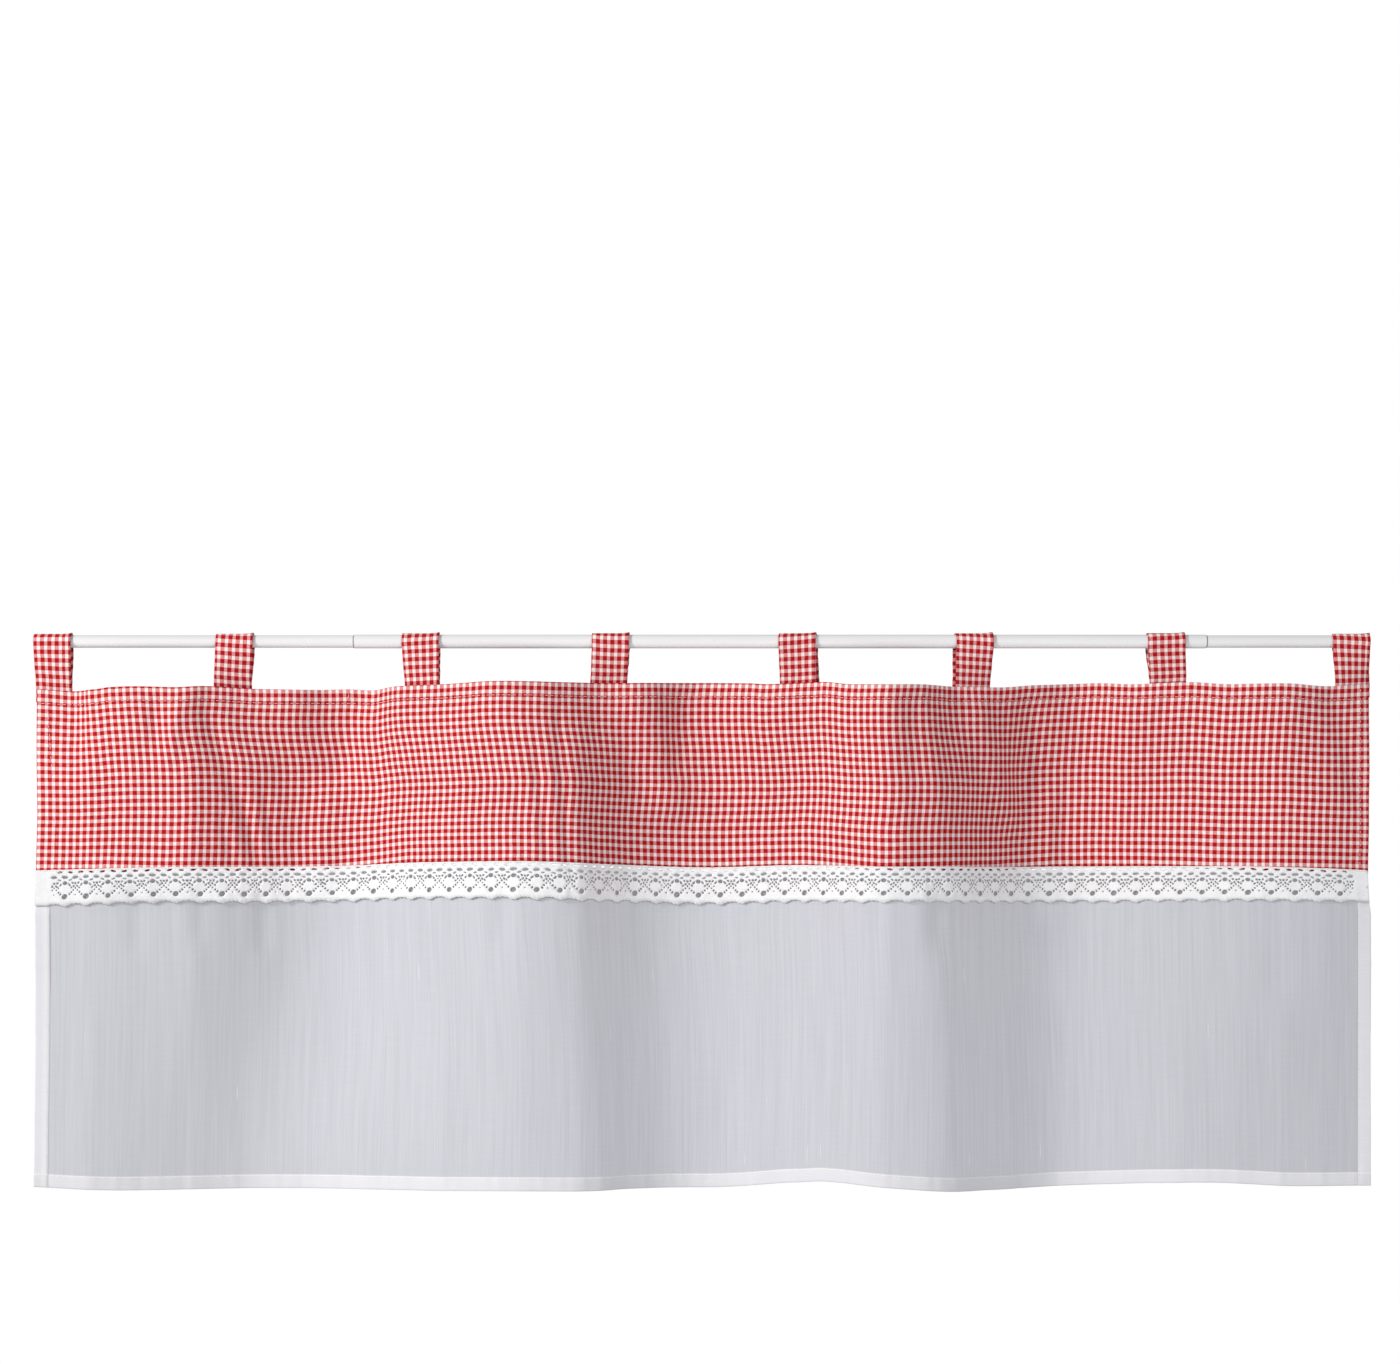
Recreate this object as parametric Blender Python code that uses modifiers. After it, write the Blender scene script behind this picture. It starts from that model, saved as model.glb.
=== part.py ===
"""Tab-top cafe curtain hanging from its telescopic rod.

Metres. +X runs along the rod from the centre of its left end face, +Z is up
and the side that faces the room is -Y. Every cloth piece follows one folded
surface, and is set a little in front of it or behind it.
"""

import math

import bmesh
import bpy
import numpy as np

# The rod: a thick middle tube with a thinner tube sliding in each end.
ROD_LENGTH = 1.080
MIDDLE_FROM = 0.259
MIDDLE_TO = 0.948
MIDDLE_RADIUS = 0.0055
INNER_RADIUS = 0.0048
TUBE_WALL = 0.0005
TUBE_OVERLAP = 0.080
END_PLUG = 0.012
LIP = 0.0004
ROD_SIDES = 48
SHARP_ANGLE = math.radians(40)

# The cloth.
SHEET = 0.0010
HEM_SHEET = 0.0016
GAP = 0.0003
CURTAIN_LEFT = 0.0015
CURTAIN_RIGHT = 1.0795

# Tabs: loops of doubled cloth whose ends are caught behind the band's hem.
TAB_CENTRES = (0.0166, 0.162, 0.312, 0.466, 0.617, 0.760, 0.915, 1.0645)
TAB_WIDTH = 0.030
TAB_LAP = 0.010
TAB_ARC_STEPS = 12
TAB_ROD_GAP = 0.00035

# Heights measured along the hanging cloth.
TOP_FOLD_DROP = 0.085
BAND_UNDER_LACE = 0.009
VOILE_BEHIND_BAND = 0.008
VOILE_FORWARD_DROP = 0.014
LACE_HEIGHT = 0.0315
FOLD_CHANGE_FROM = -0.218
FOLD_CHANGE_TO = -0.430
BOTTOM_HEM = 0.011
HEM_STEP = 0.001

# The lace's lower edge.
SCALLOPS = 61
SCALLOP_DEPTH = 0.0025
SCALLOP_STEPS = 3
LACE_FORWARD = 0.0016

# How finely the folds are followed.
TAB_STEPS = 2
BAY_STEPS = 10
SLOPE_REACH = 0.004

# The folds: how far the cloth stands towards the room at the header, at the
# seam under the band and at the hem. One row for each tab edge and each fold.
FOLD_COLUMNS = ("along", "top", "seam", "hem")
FOLDS = (
    (0.000, 0.000, 0.000, 0.002),
    (0.031, 0.000, 0.005, 0.010),
    (0.051, 0.014, 0.010, 0.015),
    (0.085, 0.019, 0.014, 0.014),
    (0.125, 0.017, 0.016, 0.006),
    (0.147, 0.007, 0.008, -0.002),
    (0.177, -0.004, -0.008, -0.008),
    (0.240, -0.019, -0.027, -0.004),
    (0.272, -0.014, -0.021, 0.005),
    (0.297, 0.001, -0.008, 0.012),
    (0.327, 0.009, 0.009, 0.021),
    (0.398, 0.034, 0.033, 0.032),
    (0.425, 0.027, 0.029, 0.031),
    (0.451, 0.006, 0.009, 0.018),
    (0.481, -0.005, -0.012, -0.004),
    (0.545, -0.031, -0.034, -0.029),
    (0.602, -0.010, -0.022, -0.012),
    (0.632, 0.000, -0.003, 0.006),
    (0.655, 0.020, 0.016, 0.020),
    (0.690, 0.038, 0.035, 0.033),
    (0.714, 0.030, 0.032, 0.031),
    (0.745, 0.005, 0.012, 0.014),
    (0.775, -0.004, -0.016, -0.009),
    (0.810, -0.024, -0.038, -0.030),
    (0.850, -0.038, -0.046, -0.038),
    (0.900, -0.011, -0.027, -0.022),
    (0.930, -0.003, -0.012, -0.006),
    (1.012, 0.018, 0.014, 0.004),
    (1.050, 0.005, 0.012, 0.002),
    (1.080, 0.000, 0.006, -0.002),
)

# The heights of the band's top edge, of the lace's top edge and of the hem.
EDGE_COLUMNS = ("along", "header", "lace", "bottom")
EDGES = (
    (0.000, -0.0380, -0.1850, -0.4410),
    (0.090, -0.0375, -0.1830, -0.4420),
    (0.240, -0.0385, -0.1810, -0.4415),
    (0.312, -0.0370, -0.1785, -0.4415),
    (0.390, -0.0345, -0.1780, -0.4410),
    (0.466, -0.0335, -0.1800, -0.4430),
    (0.545, -0.0320, -0.1820, -0.4445),
    (0.617, -0.0330, -0.1805, -0.4380),
    (0.640, -0.0340, -0.1810, -0.4355),
    (0.690, -0.0365, -0.1825, -0.4390),
    (0.760, -0.0355, -0.1820, -0.4435),
    (0.850, -0.0320, -0.1810, -0.4430),
    (0.955, -0.0340, -0.1815, -0.4375),
    (1.025, -0.0345, -0.1830, -0.4400),
    (1.080, -0.0345, -0.1850, -0.4400),
)

COLOURS = {
    "rod": (0.84, 0.83, 0.83),
    "gingham": (0.62, 0.24, 0.23),
    "lace": (0.74, 0.73, 0.76),
    "voile": (0.60, 0.60, 0.63),
}


def clear_scene():
    """Removes the scene's objects."""
    for ob in list(bpy.data.objects):
        bpy.data.objects.remove(ob, do_unlink=True)


def gentle_slopes(xs, ys):
    """Slopes that let a curve pass each row without swinging past it."""
    secants = np.diff(ys) / np.diff(xs)
    slopes = np.zeros(len(ys))
    for i in range(1, len(ys) - 1):
        before, after = secants[i - 1], secants[i]
        if before * after > 0:
            slopes[i] = 2 * before * after / (before + after)
    slopes[0] = secants[0]
    slopes[-1] = secants[-1]
    return slopes


def smooth_column(table, names, name, at):
    """One column of a table, read smoothly at each place in at."""
    xs = np.array([row[0] for row in table])
    ys = np.array([row[names.index(name)] for row in table])
    slopes = gentle_slopes(xs, ys)
    cell = np.clip(np.searchsorted(xs, at) - 1, 0, len(xs) - 2)
    width = xs[cell + 1] - xs[cell]
    t = (at - xs[cell]) / width
    start = ys[cell] * (1 + 2 * t) * (1 - t) ** 2
    start_slope = width * slopes[cell] * t * (1 - t) ** 2
    end = ys[cell + 1] * t * t * (3 - 2 * t)
    end_slope = width * slopes[cell + 1] * t * t * (t - 1)
    return start + start_slope + end + end_slope


def fold_lines():
    """Where the upright lines lie that all the sheets bend at."""
    lines = []
    half = TAB_WIDTH / 2
    for centre, following in zip(TAB_CENTRES, TAB_CENTRES[1:] + (None,)):
        lines += list(np.linspace(centre - half, centre + half, TAB_STEPS + 1))
        if following:
            bay = np.linspace(centre + half, following - half, BAY_STEPS + 1)
            lines += list(bay[1:-1])
    return np.array(lines)


LINES = fold_lines()
FOLD_AT = {n: smooth_column(FOLDS, FOLD_COLUMNS, n, LINES) for n in FOLD_COLUMNS[1:]}
EDGE_AT = {n: smooth_column(EDGES, EDGE_COLUMNS, n, LINES) for n in EDGE_COLUMNS[1:]}


def edge(name, x):
    """The height of a named edge at x."""
    return float(np.interp(x, LINES, EDGE_AT[name]))


def ease(t):
    """0 to 1 with a gentle start and end."""
    t = min(max(t, 0.0), 1.0)
    return t * t * (3 - 2 * t)


def fold_depth(x, z):
    """How far the folded surface stands towards the room at x and z."""
    top, seam, hem = (float(np.interp(x, LINES, FOLD_AT[n])) for n in FOLD_COLUMNS[1:])
    upper = top + (seam - top) * ease((edge("header", x) - z) / TOP_FOLD_DROP)
    change = (FOLD_CHANGE_FROM - z) / (FOLD_CHANGE_FROM - FOLD_CHANGE_TO)
    return upper + (hem - upper) * ease(change)


def on_fold(x, z, behind):
    """The point at x and z, set behind the folded surface, square to it."""
    left = max(x - SLOPE_REACH, LINES[0])
    right = min(x + SLOPE_REACH, LINES[-1])
    slope = (fold_depth(right, z) - fold_depth(left, z)) / (right - left)
    reach = behind / math.hypot(1, slope)
    return (x + reach * slope, reach - fold_depth(x, z), z)


def material(name, colour, roughness):
    """A plain material of one colour."""
    mat = bpy.data.materials.get(name) or bpy.data.materials.new(name)
    mat.use_nodes = True
    shader = mat.node_tree.nodes["Principled BSDF"]
    shader.inputs["Base Color"].default_value = (*colour, 1)
    shader.inputs["Roughness"].default_value = roughness
    shader.inputs["Metallic"].default_value = 0.0
    return mat


def new_object(name, mesh, parts, mat):
    """An object of this mesh and material in the curtain's collection."""
    ob = bpy.data.objects.new(name, mesh)
    mesh.materials.append(mat)
    parts.objects.link(ob)
    return ob


def sheet(name, parts, mat, across, down, place):
    """A grid of across by down cells, its points set by place(i, j)."""
    bm = bmesh.new()
    bmesh.ops.create_grid(bm, x_segments=across, y_segments=down, size=0.5)
    for vert in bm.verts:
        i = round((vert.co.x + 0.5) * across)
        j = round((0.5 - vert.co.y) * down)
        vert.co = place(i, j)
    mesh = bpy.data.meshes.new(name)
    bm.to_mesh(mesh)
    bm.free()
    return new_object(name, mesh, parts, mat)


def thicken(ob, thickness):
    """Gives a sheet its thickness, half to each side."""
    solid = ob.modifiers.new("Thickness", "SOLIDIFY")
    solid.thickness = thickness
    solid.offset = 0.0
    solid.use_even_offset = True
    return solid


def turned(name, parts, mat, profile, closed):
    """A profile of (radius, along) points turned about the rod's axis."""
    mesh = bpy.data.meshes.new(name)
    points = [(radius, 0, along) for radius, along in profile]
    edges = [(i, i + 1) for i in range(len(points) - 1)]
    if closed:
        edges.append((len(points) - 1, 0))
    mesh.from_pydata(points, edges, [])
    ob = new_object(name, mesh, parts, mat)
    ob.rotation_euler = (0, math.pi / 2, 0)
    screw = ob.modifiers.new("Turn", "SCREW")
    screw.steps = ROD_SIDES
    screw.render_steps = ROD_SIDES
    screw.use_merge_vertices = True
    screw.merge_threshold = 0.00001
    graph = bpy.context.evaluated_depsgraph_get()
    tube = bpy.data.meshes.new_from_object(ob.evaluated_get(graph))
    ob.modifiers.remove(screw)
    ob.data = tube
    tube.shade_smooth()
    tube.set_sharp_from_angle(angle=SHARP_ANGLE)
    return ob


def make_rod(parts):
    """The middle tube and the two tubes with plugged ends that slide in it."""
    mat = material("rod_white", COLOURS["rod"], 0.35)
    bore = INNER_RADIUS + GAP
    middle = (
        (bore, MIDDLE_TO),
        (MIDDLE_RADIUS - LIP / 2, MIDDLE_TO),
        (MIDDLE_RADIUS, MIDDLE_TO - LIP),
        (MIDDLE_RADIUS, MIDDLE_FROM + LIP),
        (MIDDLE_RADIUS - LIP / 2, MIDDLE_FROM),
        (bore, MIDDLE_FROM),
    )
    turned("rod_middle", parts, mat, middle, True)
    inside = INNER_RADIUS - TUBE_WALL
    left_end = MIDDLE_FROM + TUBE_OVERLAP
    left = (
        (0, END_PLUG),
        (inside, END_PLUG),
        (inside, left_end),
        (INNER_RADIUS, left_end),
        (INNER_RADIUS, LIP),
        (INNER_RADIUS - LIP, 0),
        (0, 0),
    )
    turned("rod_left", parts, mat, left, False)
    right_end = MIDDLE_TO - TUBE_OVERLAP
    right = (
        (0, ROD_LENGTH),
        (INNER_RADIUS - LIP, ROD_LENGTH),
        (INNER_RADIUS, ROD_LENGTH - LIP),
        (INNER_RADIUS, right_end),
        (inside, right_end),
        (inside, ROD_LENGTH - END_PLUG),
        (0, ROD_LENGTH - END_PLUG),
    )
    turned("rod_right", parts, mat, right, False)


def curtain_lines():
    """The fold lines that lie on the curtain, with its own side edges."""
    inside = LINES[(LINES > CURTAIN_LEFT) & (LINES < CURTAIN_RIGHT)]
    return [CURTAIN_LEFT, *inside, CURTAIN_RIGHT]


def make_band(parts, mat):
    """The checked band that the tabs carry."""
    lines = curtain_lines()

    def place(i, j):
        x = float(lines[i])
        top = edge("header", x)
        lace = edge("lace", x)
        heights = (
            top,
            top - TAB_LAP,
            top - TOP_FOLD_DROP * 0.35,
            top - TOP_FOLD_DROP * 0.7,
            top - TOP_FOLD_DROP,
            lace,
            lace - BAND_UNDER_LACE,
        )
        return on_fold(x, heights[j], 0.0)

    thicken(sheet("band", parts, mat, len(lines) - 1, 6, place), SHEET)


def make_voile(parts, mat):
    """The sheer panel: lapped behind the band, with a thicker bottom hem."""
    lines = curtain_lines()
    pitch = SHEET + GAP

    def rows(x):
        lap_top = edge("lace", x) - BAND_UNDER_LACE + VOILE_BEHIND_BAND
        lap_end = edge("lace", x) - BAND_UNDER_LACE
        bottom = edge("bottom", x)
        hem = bottom + BOTTOM_HEM
        free = FOLD_CHANGE_FROM - hem
        return (
            (lap_top, pitch),
            (lap_end, pitch),
            (lap_end - VOILE_FORWARD_DROP, 0.0),
            (FOLD_CHANGE_FROM, 0.0),
            (FOLD_CHANGE_FROM - free * 0.3, 0.0),
            (FOLD_CHANGE_FROM - free * 0.65, 0.0),
            (hem + HEM_STEP, 0.0),
            (hem, 0.0),
            (bottom, 0.0),
        )

    def place(i, j):
        x = float(lines[i])
        return on_fold(x, *rows(x)[j])

    ob = sheet("voile_panel", parts, mat, len(lines) - 1, 8, place)
    group = ob.vertex_groups.new(name="hem")
    group.add([v.index for v in ob.data.vertices if in_hem(v.co)], 1.0, "REPLACE")
    solid = thicken(ob, HEM_SHEET)
    solid.vertex_group = group.name
    solid.thickness_vertex_group = SHEET / HEM_SHEET


def in_hem(point):
    """Whether a point of the voile lies in its bottom hem."""
    return point.z < edge("bottom", point.x) + BOTTOM_HEM + HEM_STEP / 2


def make_lace(parts, mat):
    """The lace over the seam: straight above, scalloped below."""
    fine = np.linspace(CURTAIN_LEFT, CURTAIN_RIGHT, 2000)
    depths = np.array([fold_depth(x, FOLD_CHANGE_FROM) for x in fine])
    steps = np.hypot(np.diff(fine), np.diff(depths))
    length = np.concatenate([[0.0], np.cumsum(steps)])
    cells = SCALLOPS * SCALLOP_STEPS
    evenly = np.interp(np.linspace(0, length[-1], cells + 1), length, fine)

    def place(i, j):
        x = float(evenly[i])
        top = edge("lace", x)
        rise = SCALLOP_DEPTH * (1 - abs(math.sin(math.pi * i / SCALLOP_STEPS)))
        height = top if j == 0 else top - LACE_HEIGHT + rise
        return on_fold(x, height, -LACE_FORWARD)

    thicken(sheet("lace_trim", parts, mat, cells, 1, place), SHEET)


def tab_section(x, rod_radius):
    """The loop's (y, z) points at x, up the front, over the rod and down."""
    pitch = SHEET + GAP
    radius = rod_radius + TAB_ROD_GAP + SHEET / 2
    header = edge("header", x)
    front = [on_fold(x, z, pitch) for z in (header - TAB_LAP, header)]
    back = [on_fold(x, z, 2 * pitch) for z in (header, header - TAB_LAP)]
    angles = []
    for (_, y, z), turn in ((front[1], -1), (back[0], 1)):
        swing = math.acos(radius / math.hypot(y, z))
        angles.append(math.atan2(z, y) + turn * swing)
    start, end = angles[0] + 2 * math.pi, angles[1]
    arc = [
        (x, radius * math.cos(a), radius * math.sin(a))
        for a in np.linspace(start, end, TAB_ARC_STEPS + 1)
    ]
    return front + arc + back


def make_tabs(parts, mat):
    """The eight loops, each a folded strip that hangs over the rod."""
    for number, centre in enumerate(TAB_CENTRES, 1):
        on_middle = MIDDLE_FROM < centre < MIDDLE_TO
        radius = MIDDLE_RADIUS if on_middle else INNER_RADIUS
        across = np.linspace(centre - TAB_WIDTH / 2, centre + TAB_WIDTH / 2, TAB_STEPS + 1)
        sections = [tab_section(float(x), radius) for x in across]
        down = len(sections[0]) - 1
        name = f"tab_{number}"
        ob = sheet(name, parts, mat, TAB_STEPS, down, lambda i, j: sections[i][j])
        thicken(ob, SHEET)


def main():
    clear_scene()
    parts = bpy.data.collections.new("cafe_curtain")
    bpy.context.scene.collection.children.link(parts)
    make_rod(parts)
    gingham = material("gingham", COLOURS["gingham"], 0.85)
    make_tabs(parts, gingham)
    make_band(parts, gingham)
    make_voile(parts, material("voile", COLOURS["voile"], 0.9))
    make_lace(parts, material("lace", COLOURS["lace"], 0.9))


main()
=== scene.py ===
"""The looks of the cafe curtain: checked band and tabs, lace, voile, white rod.

Metres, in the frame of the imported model: +X along the rod from its left end,
+Z up, and the room on the -Y side. Every cloth piece is laid on one folded
surface. A place on the cloth is given by across, 0 to 1 from the left edge to
the right, measured along the folds, and by its drop below an edge.
"""

import math

import bpy
import mathutils
import numpy as np
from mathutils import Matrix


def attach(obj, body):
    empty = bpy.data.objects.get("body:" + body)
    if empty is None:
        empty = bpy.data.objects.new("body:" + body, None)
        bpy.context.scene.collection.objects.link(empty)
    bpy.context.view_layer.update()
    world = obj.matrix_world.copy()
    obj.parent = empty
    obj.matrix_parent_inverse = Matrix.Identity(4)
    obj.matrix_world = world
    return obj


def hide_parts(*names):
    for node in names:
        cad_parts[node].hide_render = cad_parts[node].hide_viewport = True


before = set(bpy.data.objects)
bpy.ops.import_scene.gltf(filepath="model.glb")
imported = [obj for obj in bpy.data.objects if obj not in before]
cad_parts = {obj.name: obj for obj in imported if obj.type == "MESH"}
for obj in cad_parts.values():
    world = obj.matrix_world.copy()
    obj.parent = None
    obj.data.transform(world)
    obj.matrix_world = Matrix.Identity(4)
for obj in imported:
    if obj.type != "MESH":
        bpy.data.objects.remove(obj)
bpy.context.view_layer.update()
scene = bpy.context.scene
rng = np.random.default_rng(7)

# ---- tables

MM = 0.001
TAU = 2 * math.pi


class Table:
    """Rows of numbers under named columns, of which the first is the place."""

    def __init__(self, names, *rows, unit=1.0):
        self.names = names.split()
        self.rows = np.round(np.array(rows) * unit, 7).tolist()

    def column(self, name):
        """The places and a named column."""
        return (np.array([row[k] for row in self.rows]) for k in (0, self.names.index(name)))

    def straight(self, name, at):
        """A column read in straight steps."""
        return np.interp(at, *self.column(name))

    def smooth(self, name, at):
        """A column read smoothly."""
        xs, ys = self.column(name)
        slopes = gentle_slopes(xs, ys)
        cell = np.clip(np.searchsorted(xs, at) - 1, 0, len(xs) - 2)
        width = xs[cell + 1] - xs[cell]
        t = (at - xs[cell]) / width
        start = ys[cell] * (1 + 2 * t) * (1 - t) ** 2
        start_slope = width * slopes[cell] * t * (1 - t) ** 2
        end = ys[cell + 1] * t * t * (3 - 2 * t)
        end_slope = width * slopes[cell + 1] * t * t * (t - 1)
        return start + start_slope + end + end_slope


def gentle_slopes(xs, ys):
    """Slopes that let a curve pass each row without swinging past it."""
    secants = np.diff(ys) / np.diff(xs)
    slopes = np.zeros(len(ys))
    for i, (before, after) in enumerate(zip(secants, secants[1:]), 1):
        if before * after > 0:
            slopes[i] = 2 * before * after / (before + after)
    slopes[0], slopes[-1] = secants[0], secants[-1]
    return slopes


# ---- dimensions

ROD_LENGTH = 1.08
MIDDLE_FROM = 0.259
MIDDLE_TO = 0.948
MIDDLE_RADIUS = 0.0055
INNER_RADIUS = 0.005
TUBE_WALL = 0.0004
TUBE_PLAY = 0.0002
TUBE_OVERLAP = 0.08
ROD_PLUG = 0.012
TUBE_EDGE = 0.00014

TAB_WIDTH = 0.03
TAB_LAP = 0.01
TAB_ROD_GAP = 0.00035
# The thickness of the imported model's sheets, and the gap between them.
SHEET = 0.001
GAP = 0.0003
BAND_THICK = 0.0004
TAB_THICK = 0.0009
LACE_THICK = 0.0008

TOP_FOLD_DROP = 0.085
FOLD_CHANGE_FROM = -0.218
FOLD_CHANGE_TO = -0.43
TURN_RADIUS = 0.0003
FOLD_STEPS = 2161
LINE_STEPS = 2200

# Flat cloth: the width between its side edges, heights and hems.
FLAT_WIDTH = 1.18
BAND_TALL = 0.1475
BAND_HEM = 0.012
LACE_HEIGHT = 0.0315
VOILE_TALL = 0.258
VOILE_DROP = 0.003
VOILE_FORWARD_DROP = 0.014
VOILE_HEM = 0.0108
VOILE_LEFT_HEM = 0.0118
VOILE_RIGHT_HEM = 0.0106
CHECKS_ACROSS = 196
CHECK_DOWN = 0.00618

# How far the cloth stands towards the room at three heights, as in the packed
# model.
FOLDS = Table(
    "along top seam hem",
    (0, 0, 0, 2), (31, 0, 5, 10), (51, 14, 10, 15), (85, 19, 14, 14), (125, 17, 16, 6),
    (147, 7, 8, -2), (177, -4, -7, -8), (207, -8, -22, -8), (240, -21, -28, -4),
    (272, -18, -21, 5), (297, 1, -8, 12), (327, 11, 9, 21), (382, 33, 30, 31),
    (398, 31, 33, 32), (415, 26, 32, 31), (438, 12, 24, 26), (460, 0, 5, 12),
    (484, -5, -14, -5), (545, -29, -32, -29), (602, -9, -18, -12), (632, 3, -2, 6),
    (655, 20, 16, 20), (690, 38, 35, 33), (714, 30, 32, 31), (745, 3, 12, 14),
    (775, -8, -16, -9), (810, -24, -40, -31), (850, -38, -45, -38), (900, -11, -27, -22),
    (930, -3, -12, -6), (1012, 18, 15, 4), (1036, 12, 14, 3), (1080, -3, 4, -2),
    unit=MM,
)

# The heights of the band's top edge, of the lace's top edge and of the hem.
EDGES = Table(
    "along header lace bottom",
    (0, -38, -185, -440.8), (90, -37.5, -183, -443), (240, -38.5, -181, -442.7),
    (312, -37, -178.5, -442.3), (390, -34.5, -178, -441.4), (466, -33.5, -180, -442.7),
    (545, -32, -182, -444.3), (617, -33, -180.5, -437.8), (640, -34, -181, -435.7),
    (690, -36.5, -182.5, -439), (760, -35.5, -182, -444), (800, -34, -181.5, -445),
    (850, -32, -181, -443.4), (955, -34, -181.5, -437.8), (1025, -34.5, -183, -440.2),
    (1080, -34.5, -185, -440.1),
    unit=MM,
)

# The band's top edge in finer steps, and how far its turn lies below it.
HEADER_TURN = 0.0003
HEADER = Table(
    "along height",
    (5, -38.4), (37, -40.2), (53, -39.6), (65, -38.1), (86, -37.6), (118, -38.2), (142, -36.7),
    (183, -38), (207, -38.1), (252, -36.9), (272, -38), (288, -36.3), (296, -36), (337, -35.5),
    (377, -34.5), (417, -34.5), (442, -33.9), (482, -33.2), (545, -31), (579, -32.1),
    (595, -33.4), (636, -33.1), (660, -36.4), (690, -37.6), (717, -36.8), (741, -36.7),
    (781, -36.1), (814, -33), (862, -30.7), (895, -33.2), (935, -32.6), (968, -35.1),
    (1008, -35.1), (1040, -36.7), (1080, -34.4),
    unit=MM,
)

# How far the band reaches under the lace, and the widths of its side hems.
LAPS = Table(
    "along lap",
    (0, 3.6), (200, 3.6), (300, 1.6), (630, 1.4), (690, 3.6), (780, 3.4), (830, 1.4),
    (900, 1.4), (985, 3.4), (1080, 3.4),
    unit=MM,
)
SIDE_HEMS = Table(
    "drop left right",
    (0, 8.5, 9.2), (80, 15, 8.8), (150, 16.2, 8.4),
    unit=MM,
)

# The curtain's left and right sides, which are not quite plumb.
SIDES = Table(
    "height left right",
    (-445, 1.4, 1081.4), (-400, 1.7, 1081.3), (-340, 2.2, 1080.6), (-275, 2, 1080),
    (-217, 1.5, 1079.6), (-183, 1.7, 1078), (-136, 3.1, 1079), (-88, 2.3, 1079.7),
    (-39, 2.5, 1080.6),
    unit=MM,
)

# How far the checks run below true at the header, by share of the width.
HEADER_GRAIN = Table(
    "across lower",
    (0, 0.0008), (0.06, 0.0019), (0.19, 0.0004), (0.34, 0.0009), (0.49, 0.0015),
    (0.75, -0.0002), (1, 0),
)

# How far they run below true at the band's foot.
FOOT_GRAIN = Table(
    "across lower",
    (0, -0.0024), (0.05, -0.001), (0.09, 0.0008), (0.21, 0.0012), (0.27, -0.0016),
    (0.39, -0.0014), (0.45, 0), (0.57, 0.0004), (0.63, 0.0028), (0.69, 0.0012), (0.75, 0),
    (0.81, -0.0008), (0.9, 0), (1, -0.002),
)

# How far down the lace reaches, as a share of its flat height.
REACH = Table(
    "across share",
    (0, 1), (0.09, 0.96), (0.15, 0.99), (0.21, 0.98), (0.33, 1.01), (0.48, 1.03),
    (0.57, 1.01), (0.64, 0.955), (0.75, 0.99), (0.81, 1), (0.87, 0.96), (0.93, 0.93),
    (1, 0.88),
)

# Small creases in the folds.
CREASES = Table(
    "along upper lower lean width rise",
    (62, -85, -185, 2, 8, -1.4), (103, -34, -100, -4, 6, -3.4), (124, -36, -110, -14, 6, 3),
    (136, -40, -190, 48, 8, -2.6), (150, -120, -195, 12, 4, -1.9),
    (166, -110, -195, 14, 4, -1.9), (182, -105, -195, 12, 4, -1.8),
    (264, -25, -125, -22, 14, -4.2), (240, -100, -215, -14, 14, 3.4),
    (345, -50, -150, 4, 12, 0.8), (391, -100, -195, 8, 4, -1.8), (407, -75, -195, 12, 4, -2.2),
    (424, -45, -200, 11, 4.5, -2.2), (491, -20, -155, 30, 19, 5.8),
    (526, -30, -120, -8, 9, -2.6), (545, -110, -190, -6, 6, 1.2), (634, -30, -80, -22, 6, -1.4),
    (708, -30, -210, 14, 12, -3.6), (755, -30, -175, 52, 14, 5),
    (812, -30, -180, -12, 12, -3.4), (829, -110, -195, -4, 6, 1.8),
    (842, -95, -190, -6, 5, -1.2), (858, -100, -190, -4, 5, 0.8), (925, -30, -85, -22, 6, -1.4),
    (985, -45, -150, 6, 12, -0.8), (1042, -20, -150, 36, 11, -2.2),
    (100, -190, -470, 4, 44, -6), (82, -185, -265, 4, 8, -2.6), (136, -185, -260, -3, 7, -2.6),
    (181, -185, -265, 4, 7, -2.4), (225, -250, -440, -4, 9, 0.8), (330, -230, -420, 4, 14, 1),
    (384, -185, -260, -6, 8, -2.6), (452, -200, -470, 6, 17, 4), (500, -200, -470, 6, 17, -3),
    (585, -240, -440, 6, 10, 1), (726, -185, -255, 2, 8, -2.6), (737, -240, -470, 6, 16, 4.4),
    (825, -220, -470, 2, 18, -3.4), (808, -185, -260, -3, 8, -2.6),
    (930, -230, -430, 3, 12, 0.8), (1000, -185, -300, 4, 10, -2.4),
    (1000, -240, -440, -3, 14, -0.8),
    unit=MM,
)
CREASE_FADE = 0.03


# ---- folded surface

XS = np.linspace(0.0, ROD_LENGTH, FOLD_STEPS)
FOLD_AT = {name: FOLDS.smooth(name, XS) for name in FOLDS.names[1:]}
EDGE_AT = {name: EDGES.smooth(name, XS) for name in EDGES.names[1:]}
EDGE_AT["header"] = HEADER.smooth("height", XS.clip(HEADER.rows[0][0])) - HEADER_TURN


def edge(name, x):
    """The height of a named edge at x."""
    return np.interp(x, XS, EDGE_AT[name])


def ease(t):
    """0 to 1 with a gentle start and end."""
    t = np.clip(t, 0.0, 1.0)
    return t * t * (3 - 2 * t)


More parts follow.
